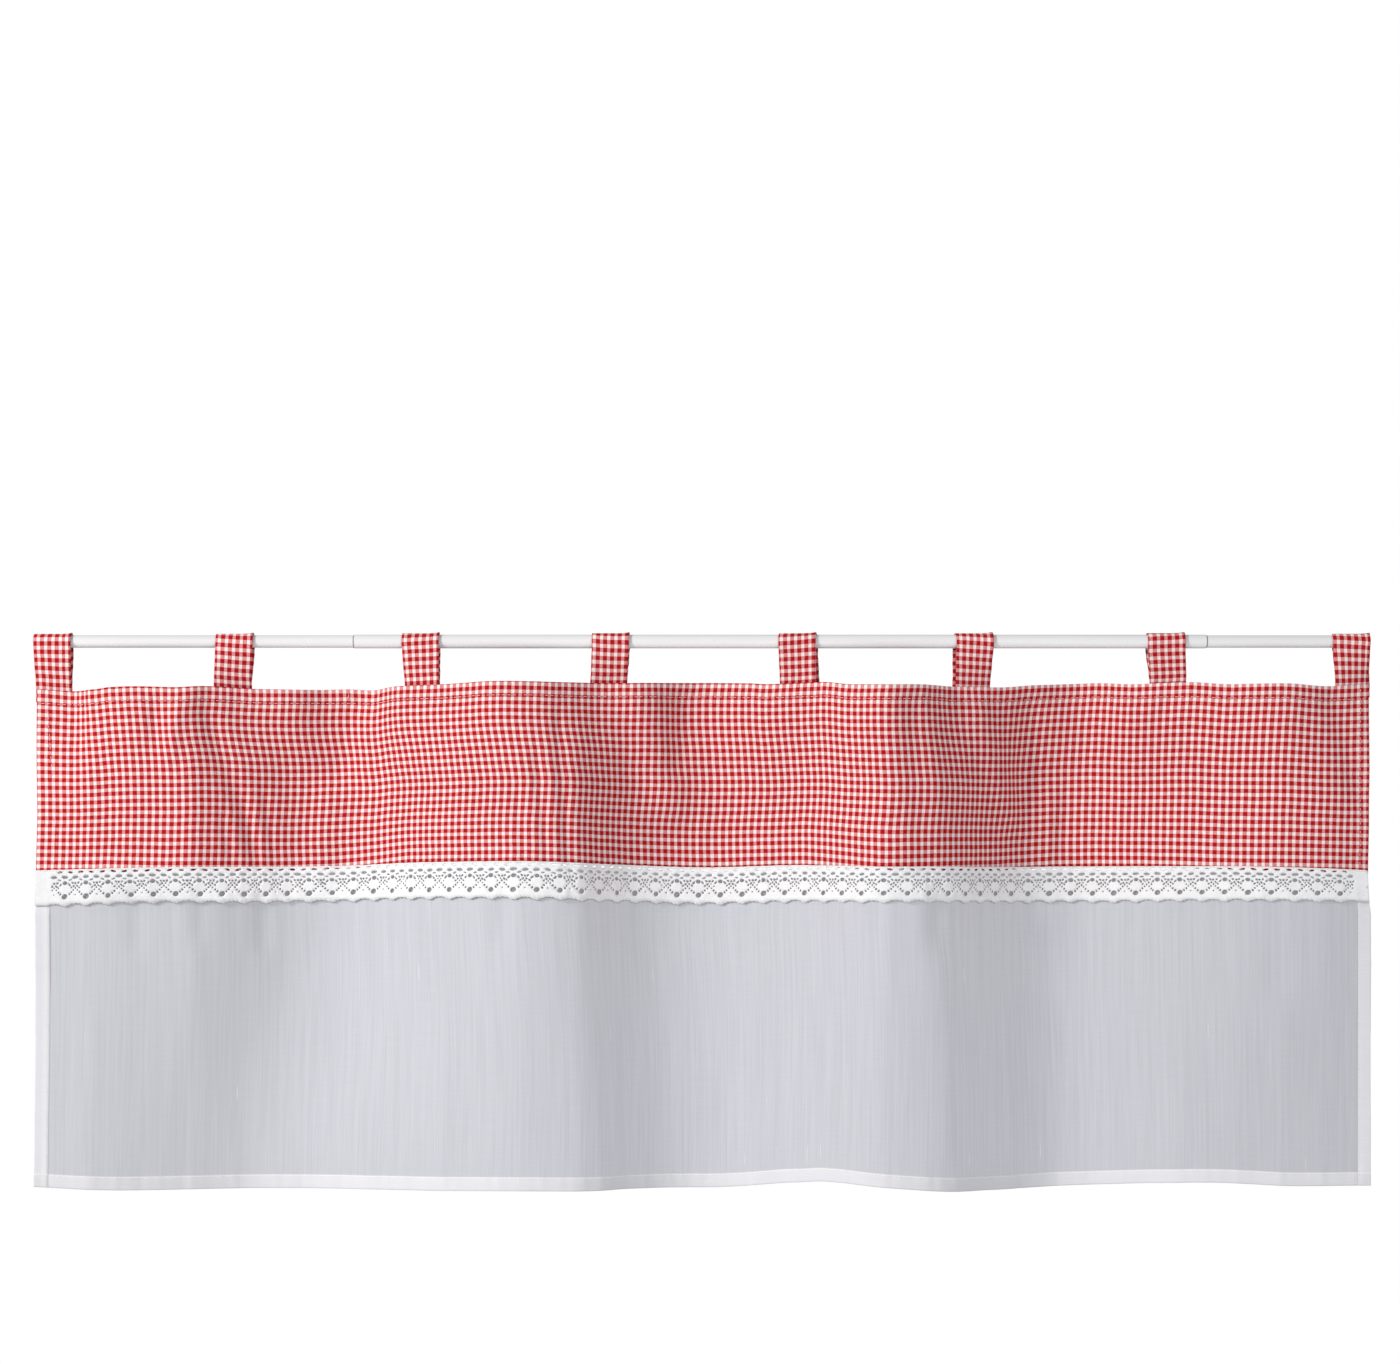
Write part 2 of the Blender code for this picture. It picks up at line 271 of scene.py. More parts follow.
def fold_depth(x, z):
    """How far the cloth stands towards the room at x and z."""
    top, seam, hem = (np.interp(x, XS, FOLD_AT[name]) for name in FOLDS.names[1:])
    upper = top + (seam - top) * ease((edge("header", x) - z) / TOP_FOLD_DROP)
    change = (FOLD_CHANGE_FROM - z) / (FOLD_CHANGE_FROM - FOLD_CHANGE_TO)
    depth = upper + (hem - upper) * ease(change)
    for along, high, low, lean, width, rise in CREASES.rows:
        middle = along + lean * (high - z) / (high - low)
        fade = ease((high - z) / CREASE_FADE) * ease((z - low) / CREASE_FADE)
        depth += rise * fade * np.exp(-(((x - middle) / width) ** 2))
    return depth


def lay_line(across, height, behind):
    """Points on the cloth: at each across, at height(x), set behind the fold.
    Even steps of across narrow where the cloth turns away, as its checks do."""
    level = float(np.mean(height(XS)))
    sides = [SIDES.straight(side, level) for side in ("left", "right")]
    xs = np.linspace(*sides, LINE_STEPS)
    zs = height(xs)
    ds = fold_depth(xs, zs)
    length = np.concatenate([[0.0], np.cumsum(np.hypot(np.diff(xs), np.diff(ds)))])
    x = np.interp(across, length / length[-1], xs)
    z = np.interp(x, xs, zs)
    depth = np.interp(x, xs, ds)
    slope = np.interp(x, xs, np.gradient(ds, xs))
    reach = behind / np.sqrt(1 + slope * slope)
    return np.stack([x + reach * slope, reach - depth, z], axis=-1)


def turn(along):
    """Cloth turned back at an edge. along is 0 on the turn and below 0 on the
    part behind; gives the distance in from the edge and the distance behind."""
    angle = np.clip(along / TURN_RADIUS, -math.pi / 2, math.pi / 2)
    straight = np.maximum(np.abs(along) - TURN_RADIUS * math.pi / 2, 0)
    return TURN_RADIUS * (1 - np.cos(angle)) + straight, TURN_RADIUS * (1 - np.sin(angle))


def hemmed(places):
    """The share across and the distance behind, where both sides turn back."""
    left, left_behind = turn(places)
    right, right_behind = turn(FLAT_WIDTH - places)
    share = np.where(places < FLAT_WIDTH / 2, left, FLAT_WIDTH - right) / FLAT_WIDTH
    return share, left_behind + right_behind


def run_along(points):
    """The distance run from the first point to each point."""
    steps = np.linalg.norm(np.diff(points, axis=0), axis=1)
    return np.concatenate([[0.0], np.cumsum(steps)])


def near(distance, width):
    """1 where distance is 0, fading to 0 over about this width."""
    return np.exp(-((distance / width) ** 2))


def ripple(x, pitch, seed):
    """An uneven ripple of about this pitch, between -1 and 1."""
    rates = (1.0, 0.73, 1.37, 0.41)
    phases = np.random.default_rng(seed).uniform(0, TAU, len(rates))
    waves = [np.sin(TAU * x * k / pitch + p) for k, p in zip(rates, phases)]
    return sum(waves) / len(rates)


# ---- meshes

ROOM = np.array([0.0, -1.0, 0.0])


def new_object(name, data):
    """An object of this data in the scene."""
    ob = bpy.data.objects.new(name, data)
    scene.collection.objects.link(ob)
    return ob


def new_piece(name, material, verts, edges, faces):
    """A mesh of this material, riding on the root."""
    mesh = bpy.data.meshes.new(name)
    mesh.from_pydata(verts, edges, faces)
    mesh.shade_smooth()
    mesh.materials.append(material)
    ob = new_object(name, mesh)
    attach(ob, "root")
    return ob


def fill(thing, **values):
    """Sets several of a thing's attributes."""
    for key, value in values.items():
        setattr(thing, key, value)
    return thing


def stand_for(node):
    """Hides the CAD node that this piece stands for."""
    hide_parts(node)


def set_cloth_uv(ob, places):
    """Writes each face corner's place on the flat cloth."""
    uv = ob.data.uv_layers.new(name="cloth")
    uv.data.foreach_set("uv", places.astype(np.float32).ravel())


def grid_piece(name, points, flat, material):
    """A sheet through rows of points; flat holds their places in the UV square."""
    points = np.array(points)
    rows, columns = points.shape[:2]
    index = np.arange(rows * columns).reshape(rows, columns)
    corners = np.stack(
        [index[:-1, :-1], index[1:, :-1], index[1:, 1:], index[:-1, 1:]], axis=-1
    ).reshape(-1, 4)
    ob = new_piece(name, material, points.reshape(-1, 3).tolist(), [], corners.tolist())
    set_cloth_uv(ob, np.array(flat).reshape(-1, 2)[corners.ravel()])
    return ob


def thicken(ob, thickness, even=True):
    """Gives a sheet its thickness, half to each side."""
    solid = ob.modifiers.new("Thickness", "SOLIDIFY")
    fill(solid, thickness=thickness, offset=0.0, use_even_offset=even)


def thread_piece(name, paths, radius, material):
    """Short threads, each a round tube along its own few points."""
    sides, tip = 6, 0.45
    verts, faces = [], []
    angles = np.arange(sides) * TAU / sides
    for path in paths:
        path = np.asarray(path)
        count = len(path)
        along = np.gradient(path, axis=0)
        along /= np.linalg.norm(along, axis=1)[:, None]
        steep = abs(along[:, 2]).mean() > 0.7
        side = np.cross(along, np.eye(3)[0 if steep else 2])
        side /= np.linalg.norm(side, axis=1)[:, None]
        up = np.cross(side, along)
        taper = np.ones(count)
        taper[0] = taper[-1] = tip
        for p, s, u, t in zip(path, side, up, taper):
            ring = p + radius * t * (np.cos(angles)[:, None] * s + np.sin(angles)[:, None] * u)
            verts.extend(ring.tolist())
        last = len(verts) - sides
        first = last - (count - 1) * sides
        for a in range(first, last, sides):
            for i, j in zip(range(sides), (*range(1, sides), 0)):
                faces.append((a + i, a + j, a + sides + j, a + sides + i))
        faces.append(tuple(reversed(range(first, first + sides))))
        faces.append(tuple(range(last, last + sides)))
    return new_piece(name, material, verts, [], faces)


def stitches(line, length=0.0024, gap=0.0009):
    """Cuts a line of points into stitches that dip into the cloth at each end."""
    lift, sink = 0.00012, 0.00028
    run = run_along(line)
    paths = []
    start = gap
    while start + length < run[-1]:
        size = length * rng.uniform(0.9, 1.08)
        at = start + size * np.array([0.0, 0.14, 0.5, 0.86, 1.0])
        points = np.stack([np.interp(at, run, line[:, k]) for k in range(3)], axis=-1)
        rise = np.array([-sink, lift * 0.6, lift, lift * 0.6, -sink])
        paths.append(points + ROOM * rise[:, None])
        start += size + gap * rng.uniform(0.85, 1.15)
    return paths


# ---- materials

WHITE = (1.0, 1.0, 1.0)
RED = (0.385, 0.006, 0.01)
UPRIGHT_PINK = (0.64, 0.19, 0.19)
LEVEL_PINK = (0.66, 0.19, 0.185)
COTTON = (0.86, 0.79, 0.775)
RED_SHARE = ((-0.36, -0.12), (-0.24, 0.0))
VOILE_TONES = ((0.65, 0.648, 0.712), (0.733, 0.731, 0.799))
VOILE_SLUB = (0.9, 0.9, 0.91)
# Painted shade for the voile's right part.
VOILE_RIGHT_SHADE = (0.9, 0.9, 0.905)
VOILE_HEMMED = (0.865, 0.862, 0.892)
VOILE_RIDGE = (0.99, 0.985, 0.99)
# Painted shade colour for the voile.
VOILE_PAINTED_SHADE = (0.26, 0.245, 0.26)
LACE_WHITE = (0.9, 0.895, 0.904)
# Painted shade for the lace's left end.
LACE_LEFT_SHADE = (0.87, 0.87, 0.875)
# Painted light: the lace's tones where it faces left and where it faces right.
LACE_FOLD_LIGHT = ((0.985, 0.985, 0.985), (1.09, 1.09, 1.09))
THREAD_WHITE = (0.9, 0.8, 0.78)
THREAD_PINK = (0.88, 0.66, 0.64)
# Painted light: the enamel's tones on top and underneath.
ENAMEL_PAINTED_LIGHT = ((0.75, 0.74, 0.748), (0.92, 0.905, 0.912))
ENAMEL_CLOUDS = (0.955, 0.955, 0.96)
# Painted shade for the rod's left end.
ENAMEL_LEFT_SHADE = (0.93, 0.93, 0.93)
# Painted shade for thin lines near the rod's top and bottom edges.
ROD_EDGE_SHADE = (0.36, 0.35, 0.36)
ROD_SCUFF = (0.35, 0.35, 0.37)
# Painted shade for the gaps at the tube joints.
ROD_JOINT_SHADE = (0.12, 0.11, 0.12)
JOINT_LINES = (MIDDLE_FROM - 0.0001, MIDDLE_TO + 0.0004)

# The UV square holds this much flat cloth, from a little outside its corner.
UV_SPAN = 1.25
UV_INSET = 0.03


def place_uv(along, down):
    """Where places on the flat cloth lie in the UV square."""
    return (np.stack(np.broadcast_arrays(along, down), axis=-1) + UV_INSET) / UV_SPAN


class Nodes:
    """The node tree of a new material, or of the world."""

    def __init__(self, name, world=None):
        self.material = world or bpy.data.materials.new(name)
        self.material.use_nodes = True
        self.tree = self.material.node_tree
        self.shader = self.tree.nodes.get("Principled BSDF")
        self.output = self.tree.nodes["World Output" if world else "Material Output"]

    def add(self, kind, settings=None, **inputs):
        node = fill(self.tree.nodes.new("ShaderNode" + kind), **(settings or {}))
        for key, value in inputs.items():
            self.put(node.inputs[key], value)
        return node

    def put(self, socket, value):
        """Links the socket to another one, or sets its own value."""
        if isinstance(value, bpy.types.NodeSocket):
            self.tree.links.new(value, socket)
        else:
            socket.default_value = (*value, 1) if socket.type == "RGBA" else value

    def put_all(self, node, values):
        """Fills the node's first sockets; gives its first output."""
        for socket, value in zip(node.inputs, values):
            self.put(socket, value)
        return node.outputs[0]

    def math(self, operation, *values):
        return self.put_all(self.add("Math", {"operation": operation}), values)

    def mix(self, share, first, second, blend="MIX"):
        node = self.add("Mix", {"data_type": "RGBA", "blend_type": blend})
        colours = [socket for socket in node.inputs if socket.type == "RGBA"]
        for socket, value in zip((node.inputs[0], *colours), (share, first, second)):
            self.put(socket, value)
        return next(socket for socket in node.outputs if socket.type == "RGBA")

    def times(self, *values):
        return self.math("MULTIPLY", *values)

    def shade(self, colour, grey):
        greys = self.add("CombineXYZ", X=grey, Y=grey, Z=grey).outputs[0]
        return self.mix(1.0, colour, greys, "MULTIPLY")

    def tint(self, colour, share, low, high):
        """The colour times a tone that goes from low to high with share."""
        return self.mix(1.0, colour, self.mix(share, low, high), "MULTIPLY")

    def ramp(self, value, low, high, to_low=0.0, to_high=1.0, kind="SMOOTHSTEP"):
        node = self.add("MapRange", {"interpolation_type": kind})
        return self.put_all(node, (value, low, high, to_low, to_high))

    def near(self, value, middle, inner, outer, peak):
        """peak within inner of the middle, fading to 0 at outer."""
        away = self.math("ABSOLUTE", self.math("SUBTRACT", value, middle))
        return self.ramp(away, inner, outer, peak, 0.0)

    def noise(self, vector, scale, detail=2.0):
        node = self.add("TexNoise", Vector=vector, Scale=scale, Detail=detail)
        return node.outputs["Fac"]

    def wobble(self, vector, scale, reach):
        return self.times(self.math("SUBTRACT", self.noise(vector, scale), 0.5), reach)

    def streaks(self, vector, scale, detail=2.0):
        stretched = self.add("Mapping", Vector=vector, Scale=scale).outputs[0]
        return self.noise(stretched, 1.0, detail)

    def split(self, vector):
        return self.add("SeparateXYZ", Vector=vector).outputs

    def on_cloth(self):
        """The place on the flat cloth."""
        return self.add("UVMap", {"uv_map": "cloth"}).outputs[0]

    def on_object(self):
        """The place on the piece, in metres."""
        return self.add("TexCoord").outputs["Object"]

    def facing(self):
        """The three parts of the direction that the surface faces."""
        return self.split(self.add("NewGeometry").outputs["Normal"])

    def finish(self, colour, roughness, height, distance, strength, specular=0.5, sheen=0.0):
        bump = self.add("Bump", Height=height, Distance=distance, Strength=strength)
        names = ("Base Color", "Roughness", "Specular IOR Level", "Sheen Weight", "Normal")
        values = (colour, roughness, specular, sheen, bump.outputs[0])
        for name, value in zip(names, values):
            self.put(self.shader.inputs[name], value)
        return self.material

    def mix_shaders(self, share, first, second):
        return self.put_all(self.add("MixShader"), (share, first, second))

    def show(self, shader):
        self.put(self.output.inputs["Surface"], shader)

    def let_light_through(self, colour, share):
        """The main shader with this share of light let through."""
        through = self.add("BsdfTranslucent", Color=colour).outputs[0]
        return self.mix_shaders(share, self.shader.outputs[0], through)


def gingham(name, repeats, shifts):
    """Woven red and white check; repeats and shifts go across, then along."""
    n = Nodes(name)
    place = n.on_cloth()
    apart = n.split(place)
    fray = n.math("ADD", n.wobble(place, 900.0, 0.07), n.wobble(place, 90.0, 0.1))
    scales = ((1500.0, 170.0, 1.0), (170.0, 1500.0, 1.0))
    reds, yarns = [], []
    for axis, repeat, shift, share, scale in zip((0, 1), repeats, shifts, RED_SHARE, scales):
        start = -shift - UV_INSET / repeat
        turns = n.math("MULTIPLY_ADD", apart[axis], UV_SPAN / repeat, start)
        turns = n.math("ADD", turns, fray)
        wave = n.math("COSINE", n.times(turns, TAU))
        reds.append(n.ramp(wave, *share))
        yarns.append(n.streaks(place, scale))
    colour = COTTON
    for red, yarn, pink in zip(reds, yarns, (UPRIGHT_PINK, LEVEL_PINK)):
        dyed = n.times(red, n.ramp(yarn, 0.35, 0.65, 0.8, 1.0))
        colour = n.mix(dyed, colour, pink)
    colour = n.mix(n.times(*reds), colour, RED)
    weave = n.times(n.math("ADD", *yarns), 0.5)
    patch = n.ramp(n.noise(place, 14.0, 3.0), 0.3, 0.7, 0.96, 1.03)
    light = n.ramp(weave, 0.3, 0.7, 0.9, 1.08, "LINEAR")
    colour = n.shade(colour, n.times(light, patch))
    roughness = n.ramp(weave, 0.3, 0.7, 0.8, 0.92)
    return n.finish(colour, roughness, weave, 0.0003, 0.35, specular=0.1)


def voile_material():
    """Sheer white voile, whiter where it is hemmed, with painted shade beside the hems, along its
    lower edge, behind the lace and towards its left and right. The mask's painted shade is for the
    room side: behind, the lace hides nothing."""
    n = Nodes("voile_sheer")
    place = n.on_cloth()
    across = n.split(place)[0]
    mask = n.add("VertexColor", {"layer_name": "hem_and_shade_mask"}).outputs["Color"]
    layers, ridge, seam = n.add("SeparateColor", Color=mask).outputs
    # Painted shade from the mask's blue, kept mostly to the side that faces the room.
    seam = n.times(seam, n.ramp(n.facing()[1], -0.05, 0.05, 1.0, 0.12))
    fine = n.times(n.streaks(place, (1500.0, 18.0, 1.0)), 0.5)
    broad = n.times(n.streaks(place, (480.0, 9.0, 1.0)), 0.5)
    streak = n.math("ADD", fine, broad)
    level = n.streaks(place, (40.0, 1300.0, 1.0), 1.0)
    slub = n.streaks(place, (520.0, 26.0, 1.0), 0.0)
    colour = n.mix(n.ramp(streak, 0.32, 0.68), *VOILE_TONES)
    colour = n.mix(n.ramp(slub, 0.84, 0.9), colour, VOILE_SLUB)
    # Painted shade: darker towards the right side.
    colour = n.tint(colour, n.ramp(across, 0.7, 0.92), WHITE, VOILE_RIGHT_SHADE)
    colour = n.mix(layers, colour, VOILE_HEMMED)
    colour = n.mix(ridge, colour, VOILE_RIDGE)
    # Painted shade: the mask's blue darkens the colour.
    colour = n.mix(seam, colour, VOILE_PAINTED_SHADE)
    # Painted shade: darker towards the left side.
    left_shade = n.ramp(across, 0.135, 0.215, 0.885, 1.0)
    colour = n.shade(colour, n.times(n.ramp(level, 0.3, 0.7, 0.985, 1.01), left_shade))
    n.finish(colour, 0.85, streak, 0.0002, 0.3, specular=0.15, sheen=0.05)
    cloth = n.let_light_through(colour, n.math("MULTIPLY_ADD", layers, -0.17, 0.42))
    clear = n.add("BsdfTransparent").outputs[0]
    sheer = n.mix_shaders(n.math("MULTIPLY_ADD", layers, -0.12, 0.12), cloth, clear)
    n.show(sheer)
    return n.material


def cotton(name, colour, fine, lace=False):
    """Matt cotton thread with soft fibres. Lace has painted shade at its left end and painted
    light where it faces right, which evens its folds, and it lets a little light through."""
    n = Nodes(name)
    place = n.on_object()
    fibres = n.noise(place, fine, 3.0)
    uneven = n.ramp(n.noise(place, fine / 12), 0.3, 0.7, 0.97, 1.02)
    colour = n.shade(colour, n.times(n.ramp(fibres, 0.3, 0.7, 0.9, 1.04), uneven))
    if lace:
        across = n.split(n.on_cloth())[0]
        # Painted shade: darker at the lace's left end.
        colour = n.tint(colour, n.ramp(across, 0.1, 0.15), LACE_LEFT_SHADE, WHITE)
        # Painted light: lighter where the lace faces right, away from the key light, which evens
        # its folds.
        colour = n.tint(colour, n.ramp(n.facing()[0], -0.05, 0.4), *LACE_FOLD_LIGHT)
    n.finish(colour, 0.85, fibres, 0.0002, 0.5, specular=0.15, sheen=0.05)
    if lace:
        n.show(n.let_light_through(colour, 0.05))
    return n.material


def rod_material():
    """White enamel on steel tube, with slight scuffs, and painted shade: dark gaps at the joints,
    thin lines near the top and bottom edges, a darker top and a darker left end.
    """
    n = Nodes("rod_enamel")
    place = n.on_object()
    forward, aside, along = n.split(place)
    around = n.math("ARCTAN2", forward, n.times(aside, -1.0))
    clouds = n.streaks(place, (160.0, 160.0, 8.0))
    fine = n.noise(place, 900.0)
    scuff = n.ramp(n.streaks(place, (500.0, 500.0, 160.0)), 0.74, 0.8)
    # Painted shade in the gaps where the thin tubes enter the thick one.
    joint_shade = n.math("MAXIMUM", *(n.near(along, at, 0.0002, 0.0007, 1.0) for at in JOINT_LINES))
    # Painted shade: thin dark lines near the top and bottom edges.
    above = n.near(around, 1.28, 0.04, 0.14, 0.55)
    below = n.near(around, -1.28, 0.04, 0.16, 0.35)
    # Painted light: darker on top, lighter underneath, which flattens the tube's shading.
    colour = n.mix(n.ramp(around, -0.7, 1.0), *ENAMEL_PAINTED_LIGHT)
    colour = n.tint(colour, n.ramp(clouds, 0.3, 0.7), ENAMEL_CLOUDS, WHITE)
    # Painted shade: darker towards the left end.
    colour = n.tint(colour, n.ramp(along, 0.05, 0.45), ENAMEL_LEFT_SHADE, WHITE)
    colour = n.mix(n.math("MAXIMUM", above, below), colour, ROD_EDGE_SHADE)
    colour = n.mix(n.times(scuff, 0.45), colour, ROD_SCUFF)
    colour = n.mix(n.times(joint_shade, 0.8), colour, ROD_JOINT_SHADE)
    roughness = n.ramp(fine, 0.3, 0.7, 0.58, 0.68)
    return n.finish(colour, roughness, fine, 0.0001, 0.15, specular=0.12)


# ---- band

# Rows of cloth: about a stitch line, round a turn and, as shares of the hem,
# down the part behind.
SEAM_FINE = np.array((-1.8, -1.3, -0.9, -0.5, -0.2, 0.1, 0.4, 0.8, 1.3, 1.9)) / 1000
TURN_FINE = np.array((-1.0, -0.5, 0.0, 0.5, 1.0)) * TURN_RADIUS * math.pi / 2
BEHIND_STEPS = np.array((1.0, 0.7, 0.4, 0.12))
BAND_COLUMNS = 430
BAND_STITCH_IN = 0.001
BAND_CHECK_SHIFT = (0.85, 0.7)
GRAIN_DROP = 0.06


def hem_columns(left, right, count):
    """Places along a row of cloth whose two sides are turned back."""
    sides = []
    for hem in (left, right):
        inner = np.linspace(0.0012, hem - 0.0024, 5)
        sides.append(np.concatenate([-hem * BEHIND_STEPS, TURN_FINE, inner, hem + SEAM_FINE]))
    middle = np.linspace(left + 0.0026, FLAT_WIDTH - right - 0.0026, count)
    return np.concatenate([sides[0], middle, (FLAT_WIDTH - sides[1])[::-1]])


def side_hems(drop):
    """Widths of the band's left and right hems at this drop."""
    return [SIDE_HEMS.straight(side, drop) for side in ("left", "right")]


def band_height(drop):
    """Height at x of a line this far below the header on the flat band."""

    def height(x):
        header = edge("header", x)
        foot = edge("lace", x) - LAPS.straight("lap", x)
        return header + (foot - header) * drop / BAND_TALL

    return height


def band_relief(across, drop):
    """How far behind the fold the band lies: hems, stitch lines, puckers."""
    x = across * FLAT_WIDTH
    left, right = side_hems(drop)
    stitch = BAND_HEM - BAND_STITCH_IN
    pull = near(drop - stitch, 0.0008) * np.ones_like(x)
    raised = ease((BAND_HEM + 0.0003 - drop) / 0.0006) * np.ones_like(x)
    for hem, at in ((left, x), (right, FLAT_WIDTH - x)):
        pull = np.maximum(pull, 0.8 * near(at - hem + BAND_STITCH_IN, 0.0008))
        raised = np.maximum(raised, ease((hem + 0.0003 - at) / 0.0006))
    gather = 0.5 + 0.5 * ripple(x, 0.0037, 7)
    sides = near(x - left, 0.008) + near(FLAT_WIDTH - right - x, 0.008)
    pucker = 0.00045 * ripple(x, 0.0105, 3) * near(max(drop - stitch, 0.0), 0.013)
    pucker += 0.0004 * ripple(x, 0.0125, 4) * near(BAND_TALL - drop, 0.014)
    pucker += 0.0003 * ripple(drop, 0.012, 8) * sides
    loose = 0.00016 * ripple(x + 0.3 * drop, 0.031, 5) * ripple(drop + 0.2 * x, 0.027, 6)
    return pull * (0.00022 + 0.00014 * gather) - 0.00025 * raised + pucker + loose


def make_band():
    """The checked band, its top and its sides turned back as hems."""
    stitch = BAND_HEM - BAND_STITCH_IN
    hem_rows = np.concatenate([np.linspace(0.0012, stitch - 0.0026, 6), stitch + SEAM_FINE])
    rest = np.arange(stitch + 0.0036, BAND_TALL - 0.0012, 0.0035)
    rows = np.concatenate([-BAND_HEM * BEHIND_STEPS, TURN_FINE, hem_rows, rest, [BAND_TALL]])
    points, flat = [], []
    for row in rows:
        drop, behind_top = turn(row)
        left, right = side_hems(drop)
        places = hem_columns(left, right, BAND_COLUMNS)
        across, behind = hemmed(places)
        behind += behind_top
        relief = band_relief(across, drop)
        relief = np.where(behind > TURN_RADIUS, np.maximum(relief, 0), relief)
        points.append(lay_line(across, band_height(drop), behind + relief))
        lower = HEADER_GRAIN.straight("lower", across) * (1 - ease(drop / GRAIN_DROP))
        low = ease(1 - (BAND_TALL - drop) / GRAIN_DROP)
        lower += FOOT_GRAIN.straight("lower", across) * low
        flat.append(place_uv(places, row - lower))
    checks = (FLAT_WIDTH / CHECKS_ACROSS, CHECK_DOWN)
    material = gingham("gingham_band", checks, BAND_CHECK_SHIFT)
    ob = grid_piece("band_cloth", points, flat, material)
    thicken(ob, BAND_THICK, even=False)
    stand_for("band")
    return ob


# ---- tabs

TAB_ACROSS = 15
TAB_LOW_WIDTH = 0.945
TAB_FLARE = 0.0009
TAB_EXTRA = 0.0009
END_TAB_EXTRA = 0.0012
TAB_SLOPE_SPAN = 0.008
TAB_ARC_POINTS = 25
TAB_LEG_POINTS = 15
TAB_LEG_DROP = 0.037
# Each tab's centre, its check's shift and pitch, how far its top, foot and back
# leg stand aside, and where its seam lies (0: not seen).
TABS = Table(
    "centre shift_across shift_along pitch_across pitch_along top_aside low_aside back_aside seam",
    (0.0166, 0.18, 0.73, 0.00595, 0.0067, -0.0007, -0.0011, -0.0004, 0.025),
    (0.162, 0.04, 0.25, 0.0059, 0.0066, 0.0008, -0.0005, 0, 0),
    (0.312, 0.05, 0.37, 0.0059, 0.0064, 0.001, 0.0014, 0.0002, 0),
    (0.466, 0.87, 0.2, 0.0058, 0.0066, 0.0006, -0.0004, 0.0004, 0),
    (0.617, -0.05, 0.23, 0.0057, 0.0066, 0.0001, 0.0003, 0.0022, 0),
    (0.76, 0.12, 0.68, 0.00562, 0.0065, 0.0008, 0.0008, -0.0018, 0),
    (0.915, -0.12, 0.02, 0.006, 0.0065, 0.0004, 0.0034, -0.0004, 0),
    (1.0645, 0.21, 0.66, 0.0058, 0.0068, 0.0002, 0.002, 0.0018, 0.0258),
)
TAB_SEAM_SHIFT = 0.0009


def tab_path(x, rod_radius, bow, extra):
    """One upright line of a loop, from its lap in front to its lap behind."""
    pitch = SHEET + GAP
    radius = rod_radius + TAB_ROD_GAP + SHEET / 2
    header = float(edge("header", x))
    near_side, far_side = (fold_depth(x + k * TAB_SLOPE_SPAN / 2, header) for k in (-1, 1))
    slope = float(far_side - near_side) / TAB_SLOPE_SPAN

    def lap(z, behind):
        reach = behind / math.hypot(1, slope)
        return np.array([x + reach * slope, reach - float(fold_depth(x, z)), z])

    heights = [header - TAB_LAP * k for k in (1.0, 0.5, 0.0)]
    front = [lap(z, pitch + extra) for z in heights]
    back = [lap(z, 2 * pitch + extra) for z in reversed(heights)]
    angles = []
    for (_, y, z), side in ((front[-1], -1), (back[0], 1)):
        angles.append(math.atan2(z, y) + side * math.acos(radius / math.hypot(y, z)))
    sweep = np.linspace(angles[0] + TAU, angles[1], TAB_ARC_POINTS)
    arc = [np.array([x, radius * math.cos(a), radius * math.sin(a)]) for a in sweep]
    shares = np.linspace(0, 1, TAB_LEG_POINTS + 2)[1:-1]

    def leg(low, high, side):
        bows = [np.array([0, side * bow * math.sin(math.pi * s), 0]) for s in shares]
        return [low + (high - low) * s + out for s, out in zip(shares, bows)]

    rising = leg(front[-1], arc[0], -1)
    falling = leg(back[0], arc[-1], 1)[::-1]
    return np.array(front + rising + arc + falling + back)


def make_tab(number, row):
    """One loop: a doubled strip over the rod, both ends behind the band."""
    tab = dict(zip(TABS.names, row))
    centre = tab["centre"]
    radius = MIDDLE_RADIUS if MIDDLE_FROM < centre < MIDDLE_TO else INNER_RADIUS
    extra = END_TAB_EXTRA if number in (1, len(TABS.rows)) else TAB_EXTRA
    shares = np.linspace(0, 1, TAB_ACROSS)
    lines = []
    for share in shares:
        aside = (share - 0.5) * TAB_WIDTH
        bow = 0.0006 + 0.0006 * math.sin(math.pi * share)
        flare = TAB_FLARE * max(0, 2 * share - 1) ** 4
        line = tab_path(centre + aside, radius + flare, bow, extra)
        rise = ease((line[:, 2] + TAB_LEG_DROP) / TAB_LEG_DROP)
        behind = ease((np.arange(len(line)) - TAB_ARC_POINTS) / (TAB_LEG_POINTS - 1))
        line[:, 0] += tab["low_aside"] + (tab["top_aside"] - tab["low_aside"]) * rise
        line[:, 0] -= aside * (1 - TAB_LOW_WIDTH) * (1 - rise)
        wave = 0.0003 * behind * ripple(line[:, 2], 0.009, number)
        line[:, 0] += tab["back_aside"] * behind + wave
        line[:, 0] += 0.0002 * (1 - behind) * ripple(line[:, 2], 0.016, number + 10)
        lines.append(line)
    points = np.stack(lines, axis=1)
    run = run_along(points[:, TAB_ACROSS // 2])
    along = shares * TAB_WIDTH
    if tab["seam"]:
        along += TAB_SEAM_SHIFT * ease((along - tab["seam"]) / 0.0002)
    flat = place_uv(along[None, :], run[:, None] - TAB_LAP)
    repeats = (tab["pitch_across"], tab["pitch_along"])
    shifts = (tab["shift_across"], tab["shift_along"])
    material = gingham(f"gingham_tab_{number}", repeats, shifts)
    ob = grid_piece(f"tab_cloth_{number}", points, flat, material)
    thicken(ob, TAB_THICK)
    stand_for(f"tab_{number}")
    return ob, float(run[-1])


# ---- lace

